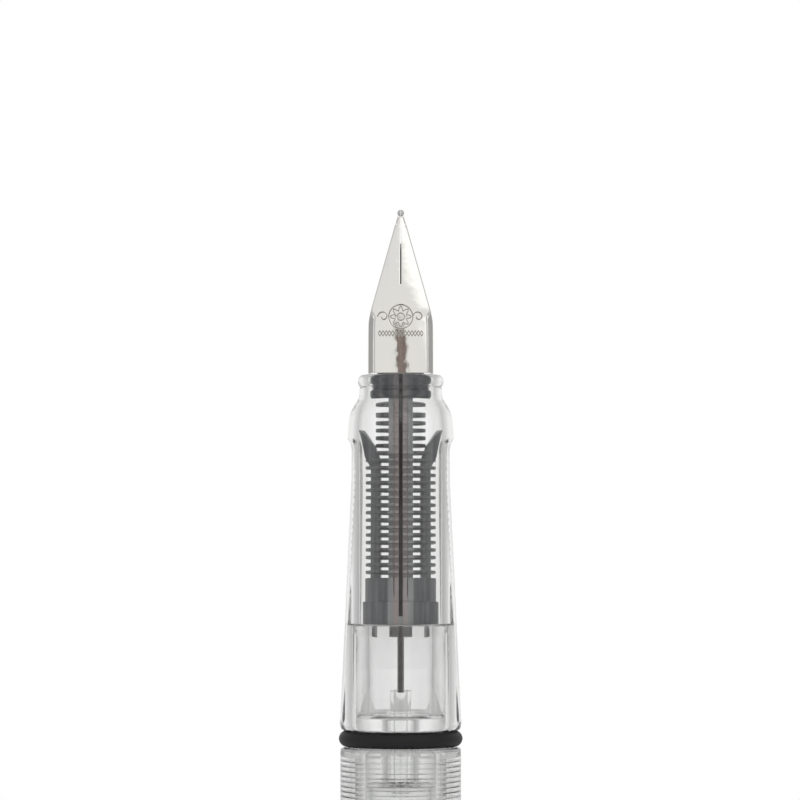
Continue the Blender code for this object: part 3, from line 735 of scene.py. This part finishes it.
def nib_place(across, s):
    """The (x, y) place on the nib's outer face: across runs from the slit (0) to the edge (1)."""
    half = nib_half_width(s)
    opened = min(max((s - 9.5) / 1.1, 0.0), 1.0)
    fold = min(0.14 + 0.46 * opened * opened * (3 - 2 * opened), 0.45 * half)
    flat = half - fold
    wall = 2.3 * min(1.0, max(0.0, (s - 1.0) / 9.5)) ** 1.3
    crown = 0.055 * half
    slit = min(0.022 + 0.042 * min(max((s - 2.6) / 1.2, 0.0), 1.0), 0.3 * flat)
    bend = math.radians(84.0)
    if across <= 0.5:
        x = slit + (flat - slit) * across / 0.5
        return x, nib_top(s) + crown * (x / flat) ** 2
    turned_by = min((across - 0.5) / 0.25, 1.0)
    angle = bend * turned_by
    chamfer = 0.85 * opened
    x = flat + fold * ((1 - chamfer) * math.sin(angle) + chamfer * math.sin(bend) * turned_by)
    y = nib_top(s) + crown + fold * ((1 - chamfer) * (1 - math.cos(angle))
                                     + chamfer * (1 - math.cos(bend)) * turned_by)
    if across > 0.75:
        share = (across - 0.75) / 0.25
        x -= 0.06 * share
        y += wall * share
    return x, y


bm = bmesh.new()
bmesh.ops.create_grid(bm, x_segments=columns, y_segments=rows, size=1.0)
slit_edge = 1.0 / columns
slit_faces = []
for face in bm.faces:
    centre = face.calc_center_median()
    s = 0.35 + (nib_length - 0.35) * (1 - centre.y) / 2
    if abs(centre.x) < slit_edge and s < slit_end:
        slit_faces.append(face)
bmesh.ops.delete(bm, geom=slit_faces, context="FACES")
for vert in bm.verts:
    s = 0.35 + (nib_length - 0.35) * (1 - vert.co.y) / 2
    across = max(abs(vert.co.x) - slit_edge, 0.0) / (1 - slit_edge)
    x, y = nib_place(across, s)
    vert.co = Vector((math.copysign(x, vert.co.x), y, nib_tip - s)) * mm
bmesh.ops.recalc_face_normals(bm, faces=bm.faces)
if sum(face.normal.y for face in bm.faces) > 0:
    bmesh.ops.reverse_faces(bm, faces=bm.faces)

steel, add, join, calc, shader, scratches, haze = finish_start("polished_steel")
shader.inputs["Metallic"].default_value = 1.0
place = add("ShaderNodeTexCoord").outputs["Object"]
brush = grained(add, join, place, (9000.0, 4000.0, 220.0), 3.0, 0.6)
dents = grained(add, join, place, (420.0, 420.0, 480.0), 2.0)


def engraving(add, join, calc, place, centre):
    """A rosette of rings and petals, two scrolls and a row of lozenges, as a mask of cut lines."""
    shift = add("ShaderNodeVectorMath", operation="SUBTRACT")
    shift.inputs[1].default_value = centre
    join(place, shift.inputs[0])
    size = add("ShaderNodeVectorMath", operation="SCALE")
    size.inputs["Scale"].default_value = 1.0 / mm
    join(shift.outputs[0], size.inputs[0])
    apart = add("ShaderNodeSeparateXYZ")
    join(size.outputs[0], apart.inputs[0])
    x, z = apart.outputs["X"], apart.outputs["Z"]

    def line(distance, half_width):
        inner = calc("DIVIDE", calc("ABSOLUTE", distance), half_width)
        return calc("MAXIMUM", calc("SUBTRACT", 1.0, inner), 0.0)

    reach = calc("SQRT", calc("ADD", calc("MULTIPLY", x, x), calc("MULTIPLY", z, z)))
    angle = calc("ARCTAN2", z, x)
    petals = calc("MULTIPLY_ADD", calc("COSINE", calc("MULTIPLY", angle, 8.0)), 0.2, 0.82)
    cuts = [line(calc("SUBTRACT", reach, petals), 0.10), line(calc("SUBTRACT", reach, 1.2), 0.08),
            line(calc("SUBTRACT", reach, 0.36), 0.08)]
    for hand in (-1.0, 1.0):
        beside = calc("SUBTRACT", x, 1.75 * hand)
        curl = calc("SQRT", calc("ADD", calc("MULTIPLY", beside, beside), calc("MULTIPLY", z, z)))
        turn = calc("MULTIPLY_ADD", calc("ARCTAN2", z, beside), 0.06, 0.36)
        cuts.append(line(calc("SUBTRACT", curl, turn), 0.08))
    short = calc("LESS_THAN", calc("ABSOLUTE", x), 2.24)
    cell = calc("ABSOLUTE", calc("SUBTRACT", calc("PINGPONG", x, 0.32), 0.16))
    lozenge = calc("ADD", calc("ABSOLUTE", calc("SUBTRACT", z, -1.66)), calc("MULTIPLY", cell, 1.6))
    cuts.append(calc("MULTIPLY", line(calc("SUBTRACT", lozenge, 0.26), 0.09), short))
    mask = cuts[0]
    for cut in cuts[1:]:
        mask = calc("MAXIMUM", mask, cut)
    front = calc("LESS_THAN", apart.outputs["Y"], 1.5)
    return calc("MULTIPLY", mask, front)


cut_lines = engraving(add, join, calc, place, (0.0, -2.6 * mm, (nib_tip - 10.4) * mm))
join(tinted(add, join, cut_lines, (0.86, 0.845, 0.815), (0.22, 0.20, 0.165)), shader.inputs["Base Color"])
rough = calc("MULTIPLY_ADD", scratches, 0.12, ranged(add, join, brush, 0.03, 0.10))
join(rough, shader.inputs["Roughness"])
worn = calc("MULTIPLY_ADD", cut_lines, -0.8, ranged(add, join, dents, 0.0, 2.2))
bumped(add, join, calc("MULTIPLY_ADD", brush, 0.04, worn), shader, 0.02 * mm)
nib = as_object("steel_nib", bm, steel, sharp=40.0)
wall = nib.modifiers.new("sheet", "SOLIDIFY")
wall.thickness = sheet * mm
wall.offset = -1.0
edge = nib.modifiers.new("filed_edge", "BEVEL")
edge.width = 0.025 * mm
edge.segments = 2
edge.limit_method = "ANGLE"
edge.angle_limit = math.radians(50.0)
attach(nib, "nib")
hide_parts("nib")

# ----------------------------------------------------------------------------
# Tipping: a pellet of hard alloy welded to the point and ground round, then split by the slit.
pellet_r = 0.34
pellet_middle = Vector((0, nib_top(0) + 0.14, nib_tip + 0.02)) * mm
bm = bmesh.new()
bmesh.ops.create_uvsphere(bm, u_segments=48, v_segments=32, radius=pellet_r * mm)
cut = bmesh.ops.bisect_plane(bm, geom=bm.verts[:] + bm.edges[:] + bm.faces[:],
                             plane_co=(0.016 * mm, 0, 0), plane_no=(1, 0, 0), clear_inner=True)
bmesh.ops.holes_fill(bm, edges=[item for item in cut["geom_cut"] if isinstance(item, bmesh.types.BMEdge)])
half = bm.verts[:] + bm.edges[:] + bm.faces[:]
bmesh.ops.mirror(bm, geom=half, axis="X", merge_dist=0.0)
bmesh.ops.translate(bm, verts=bm.verts, vec=pellet_middle)
bmesh.ops.recalc_face_normals(bm, faces=bm.faces)
alloy, add, join, calc, shader, scratches, haze = finish_start("tipping_alloy")
shader.inputs["Metallic"].default_value = 1.0
join(tinted(add, join, haze, (0.62, 0.61, 0.60), (0.74, 0.73, 0.71)), shader.inputs["Base Color"])
join(ranged(add, join, haze, 0.15, 0.4), shader.inputs["Roughness"])
pellet = as_object("tipping_pellet", bm, alloy, sharp=40.0)
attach(pellet, "nib")
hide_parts("nib_tipping")

# ----------------------------------------------------------------------------
# Converter tube: a clear tube that holds the ink, with a waisted mouth pushed on to the nipple.
tube_foot, tube_mouth, _ = heights("converter_tube")
tube_r = 3.55
tube_bore = 2.95
mouth_bore = nipple_r + 0.3
outline = [(tube_r - 0.3, tube_mouth), (tube_r, tube_mouth - 0.4)]
outline += run((tube_r, tube_mouth - 8.0), (tube_r, tube_foot), 4)
outline += [(tube_bore, tube_foot), (tube_bore, tube_mouth - 5.2), (mouth_bore, tube_mouth - 4.4),
            (mouth_bore, tube_mouth - 0.4), (mouth_bore + 0.4, tube_mouth)]
bm = turned(outline, steps=128, soft=0.1)
ink_tube = as_object("clear_converter_tube", bm, clear_plastic)
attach(ink_tube, "converter")
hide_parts("converter_tube")

# ----------------------------------------------------------------------------
# Converter band: a thin sleeve of plated brass, rolled over the joint between the tube and its
# screw end. Two rolled grooves run round each end.
band_foot, band_top, band_r = heights("converter_band")
band_bore = band_r - 0.35
groove = 0.07
outline = [(band_r - 0.1, band_top)]
for height in (band_top - 1.2, band_top - 1.8, band_foot + 1.8, band_foot + 1.2):
    outline += [(band_r, height + 0.2), (band_r - groove, height + 0.08), (band_r - groove, height - 0.08),
                (band_r, height - 0.2)]
outline += [(band_r - 0.1, band_foot), (band_bore, band_foot), (band_bore, band_top)]
bm = turned(outline, steps=128, soft=0.05)


def plated(name, one, two, smoothest, roughest):
    """Plated or bare metal with hairlines and patches of dulled surface."""
    made, add, join, calc, shader, scratches, haze = finish_start(name)
    shader.inputs["Metallic"].default_value = 1.0
    join(tinted(add, join, haze, one, two), shader.inputs["Base Color"])
    rough = calc("MULTIPLY_ADD", scratches, 0.2, ranged(add, join, haze, smoothest, roughest))
    join(rough, shader.inputs["Roughness"])
    skinned(add, join, shader, 0.4, 0.1, 0.01 * mm)
    return made


chrome = plated("chrome_plate", (0.82, 0.82, 0.83), (0.72, 0.72, 0.735), 0.03, 0.14)
band = as_object("plated_band", bm, chrome)
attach(band, "converter")
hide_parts("converter_band")

# ----------------------------------------------------------------------------
# Rod guide: a black bush in the tube's end. Its hole has two flats, so the rod cannot turn in it.
guide_foot, guide_top, _ = heights("rod_guide")
rod_r = 1.05
rod_flat = 0.75


def moulded_black(name, one, two, smoothest, roughest):
    """Black or grey moulded plastic with a fine grain, rubbed brighter in patches."""
    made, add, join, calc, shader, scratches, haze = finish_start(name)
    join(tinted(add, join, haze, one, two), shader.inputs["Base Color"])
    rough = calc("MULTIPLY_ADD", scratches, -0.12, ranged(add, join, haze, smoothest, roughest))
    join(rough, shader.inputs["Roughness"])
    skinned(add, join, shader, 0.4, 0.6, 0.015 * mm)
    return made


def flattened(radius, flat, low, high, steps=72):
    """A round bar with two flats, between two heights in millimetres."""
    bm = turned([(0, high), (radius, high), (radius, low), (0, low)], steps=steps, soft=0.05)
    for vert in bm.verts:
        vert.co.y = max(min(vert.co.y, flat * mm), -flat * mm)
    return bm


black = moulded_black("black_plastic", (0.014, 0.014, 0.015), (0.035, 0.035, 0.037), 0.25, 0.42)
bush = turned([(tube_r, guide_top), (tube_r, guide_foot), (0, guide_foot), (0, guide_top)], soft=0.1)
bm = combined(bush, [("DIFFERENCE", flattened(rod_r + 0.2, rod_flat + 0.2, guide_foot - 1, guide_top + 1))])
guide = as_object("black_rod_guide", bm, black)
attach(guide, "converter")
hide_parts("rod_guide")

# ----------------------------------------------------------------------------
# Piston rod: grey plastic with a coarse screw along it and two flats, driven up and down by the
# knob's own thread as the knob turns.
rod_foot, rod_top, _ = heights("piston_rod")
grey = moulded_black("grey_plastic", (0.22, 0.22, 0.225), (0.30, 0.30, 0.305), 0.3, 0.45)
outline = [(0, rod_top), (rod_r - 0.15, rod_top)]
outline += run((rod_r - 0.15, rod_top - 0.4), (rod_r - 0.15, rod_foot + 0.4), 240)
outline += [(rod_r - 0.15, rod_foot), (0, rod_foot)]
bm = turned(outline, steps=64, soft=0.05)
cut_thread(bm, rod_r - 0.15, rod_foot, rod_top - 1.5, 0.15, 1.25)
for vert in bm.verts:
    vert.co.y = max(min(vert.co.y, rod_flat * mm), -rod_flat * mm)
rod = as_object("grey_piston_rod", bm, grey)
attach(rod, "piston")
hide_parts("piston_rod")

# ----------------------------------------------------------------------------
# Piston seal: a black rubber plug on the rod's end, with two lips that wipe the ink tube.
seal_foot, seal_top, lip_r = heights("piston_seal")
waist_r = lip_r - 0.5
bm = turned([(0, seal_top - 0.15), (1.2, seal_top - 0.15), (1.5, seal_top), (waist_r, seal_top),
             (lip_r, seal_top - 0.4), (lip_r, seal_top - 0.9), (waist_r, seal_top - 1.2),
             (waist_r, seal_top - 1.8), (lip_r, seal_top - 2.1), (lip_r, seal_top - 2.6),
             (waist_r, seal_foot), (0, seal_foot)], soft=0.12)
seal = as_object("rubber_piston_seal", bm, rubber)
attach(seal, "piston")
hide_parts("piston_seal")

# ----------------------------------------------------------------------------
# Knob: the black end that is turned to draw ink. It is a deep sleeve, so that the rod can draw
# back into it, and its lower half is ribbed for the fingers.
knob_foot, knob_top, knob_r = heights("converter_knob")
ribs = 36
rib_depth = 0.12
outline = [(3.2, knob_top), (3.3, knob_top - 0.1), (3.3, knob_top - 2.5), (knob_r, knob_top - 2.9),
           (knob_r, knob_foot + 14.2)]
outline += run((knob_r, knob_foot + 13.8), (knob_r, knob_foot + 1.4), 26)
outline += [(knob_r, knob_foot + 0.6), (knob_r - 0.4, knob_foot), (1.8, knob_foot), (1.6, knob_foot + 0.15),
            (0, knob_foot + 0.15), (0, knob_foot + 1.0), (1.6, knob_foot + 1.0), (1.6, knob_top)]
bm = turned(outline, steps=ribs * 8, soft=0.1)
for vert in bm.verts:
    height = vert.co.z / mm
    distance = math.hypot(vert.co.x, vert.co.y) / mm
    if distance > knob_r - 0.05 and knob_foot + 1.2 < height < knob_foot + 14.0:
        wave = abs(math.sin(ribs / 2 * math.atan2(vert.co.y, vert.co.x)))
        fade = min(1.0, (height - knob_foot - 1.2) / 0.5, (knob_foot + 14.0 - height) / 0.5)
        shrink = 1 - rib_depth * (1 - wave) * fade / distance
        vert.co.x *= shrink
        vert.co.y *= shrink
knob = as_object("black_knob", bm, black)
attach(knob, "knob")
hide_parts("converter_knob")

# ----------------------------------------------------------------------------
# Cap: a clear moulded tube, here posted on the barrel's tail. Its end wall holds the clip in a
# pocket and has a hole for the finial's stem.
_, cap_mouth, cap_r = heights("cap_tube")
cap_end_r = 6.3
cap_bore = 6.35
outline = [(cap_r - 0.3, cap_mouth), (cap_r, cap_mouth - 0.35)]
outline += run((cap_r, cap_mouth - 14.0), (cap_r - 0.15, 30.0), 4)
outline += [(cap_end_r + 0.15, 3.0), (cap_end_r, 1.9), (1.9, 1.9), (1.9, 3.6), (5.7, 3.6)]
outline += run((6.0, 28.0), (cap_bore - 0.05, 44.0), 4)
outline += [(cap_bore, cap_mouth - 0.4), (cap_bore + 0.15, cap_mouth)]
tube = turned(outline, steps=176, soft=0.12, corner=20.0)
bm = combined(tube, [("DIFFERENCE", block((-2.1, -9.0, 0.5), (2.1, -3.6, 3.1), soft=0.15))])
cap = as_object("clear_cap", bm, clear_plastic)
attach(cap, "cap")
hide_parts("cap_tube")

# ----------------------------------------------------------------------------
# Cap liner: a second clear cup inside the cap, which closes over the nib so that it stays wet.
liner_foot, liner_top, _ = heights("cap_liner")
bm = turned([(5.1, liner_top), (5.45, liner_top - 0.3), (5.3, liner_foot), (1.8, liner_foot),
             (1.8, liner_foot + 1.3), (4.4, liner_foot + 1.3), (4.65, liner_top - 0.3), (4.8, liner_top)],
            steps=144, soft=0.15)
liner = as_object("clear_cap_liner", bm, clear_plastic)
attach(liner, "cap")
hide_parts("cap_liner")

# ----------------------------------------------------------------------------
# Finial: the black button that the pen stands on here, with turned rings in its face and a
# threaded stem that passes through the cap's end and the liner.
stem_r = 1.5
face_r = cap_end_r - 0.1
outline = [(0, 6.9), (stem_r - 0.2, 6.9)]
outline += run((stem_r - 0.08, 6.7), (stem_r - 0.08, 1.75), 60)
outline += [(stem_r - 0.08, 1.6), (face_r - 0.2, 1.6), (face_r, 1.4), (face_r, 0.25), (face_r - 0.25, 0.0)]
for ring in (4.6, 3.0):
    outline += [(ring + 0.16, 0.0), (ring + 0.06, 0.12), (ring - 0.06, 0.12), (ring - 0.16, 0.0)]
outline += [(0, 0.0)]
bm = turned(outline, steps=144, soft=0.05)
cut_thread(bm, stem_r - 0.08, 1.9, 6.6, 0.08, 0.5)
finial = as_object("black_finial", bm, black)
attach(finial, "cap")
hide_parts("cap_finial")

# ----------------------------------------------------------------------------
# Nut: a turned brass hexagon that clamps the cap's end, the clip and the liner together.
nut_foot, nut_top, _ = heights("cap_nut")
nut_thick = nut_top - nut_foot
nut_r = 2.9
bm = bmesh.new()
nut_middle = Matrix.Translation((0, 0, (nut_foot + nut_thick / 2) * mm))
bmesh.ops.create_cone(bm, cap_ends=True, segments=6, radius1=nut_r * mm, radius2=nut_r * mm,
                      depth=nut_thick * mm, matrix=nut_middle)
bmesh.ops.bevel(bm, geom=bm.edges[:], offset=0.12 * mm, affect="EDGES", segments=3, profile=0.5, material=-1)
chamfer = turned([(0, nut_top + 0.01), (nut_r - 0.35, nut_top + 0.01), (nut_r + 0.15, nut_top - 0.35),
                  (nut_r + 0.15, nut_foot + 0.35), (nut_r - 0.35, nut_foot - 0.01), (0, nut_foot - 0.01)],
                 steps=96, soft=0.0)
hole = turned([(0, nut_top + 1), (1.8, nut_top + 1), (1.8, nut_foot - 1), (0, nut_foot - 1)], steps=72)
bm = combined(bm, [("INTERSECT", chamfer), ("DIFFERENCE", hole)])
brass = plated("brass", (0.82, 0.60, 0.28), (0.62, 0.43, 0.19), 0.12, 0.3)
nut = as_object("brass_nut", bm, brass)
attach(nut, "cap")
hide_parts("cap_nut")

# ----------------------------------------------------------------------------
# Clip: a strip of spring steel, bent up from a tab in the cap's end and chromed. A ball pressed
# out near its free end holds the pocket's cloth.
strap_half = 1.7
strap_thick = 0.6
strap_out = cap_r + 1.3
tab_height = 1.95
bend_r = 1.0
strap_tip = 46.6
ball_r = 1.35
outline = [(4.0, tab_height)]
outline += [(strap_out - bend_r + bend_r * math.sin(a), tab_height + bend_r - bend_r * math.cos(a))
            for a in [math.radians(7.5 * i) for i in range(13)]]
outline += [(strap_out, strap_tip - 0.2), (strap_out - 0.15, strap_tip), (strap_out - strap_thick, strap_tip)]
inner_bend = bend_r - strap_thick
outline += [(strap_out - bend_r + inner_bend * math.sin(a), tab_height + bend_r - inner_bend * math.cos(a))
            for a in [math.radians(90 - 15 * i) for i in range(7)]]
outline += [(4.0, tab_height + strap_thick)]
bm = plate(outline, strap_half)
rim = [edge for edge in bm.edges if len(edge.link_faces) == 2
       and any(abs(abs(face.normal.y) - 1) < 0.01 for face in edge.link_faces)]
bmesh.ops.bevel(bm, geom=rim, offset=0.14 * mm, affect="EDGES", segments=3, profile=0.5, material=-1)
bmesh.ops.rotate(bm, verts=bm.verts, cent=(0, 0, 0), matrix=Matrix.Rotation(math.radians(-90), 3, "Z"))
ball = bmesh.new()
ball_middle = Vector((0, -(cap_r + 0.3 + ball_r), strap_tip + 0.33)) * mm
bmesh.ops.create_uvsphere(ball, u_segments=48, v_segments=32, radius=ball_r * mm,
                          matrix=Matrix.Translation(ball_middle))
bm = combined(bm, [("UNION", ball)])
clip = as_object("chrome_clip", bm, chrome, sharp=35.0)
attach(clip, "clip")
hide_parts("cap_clip")
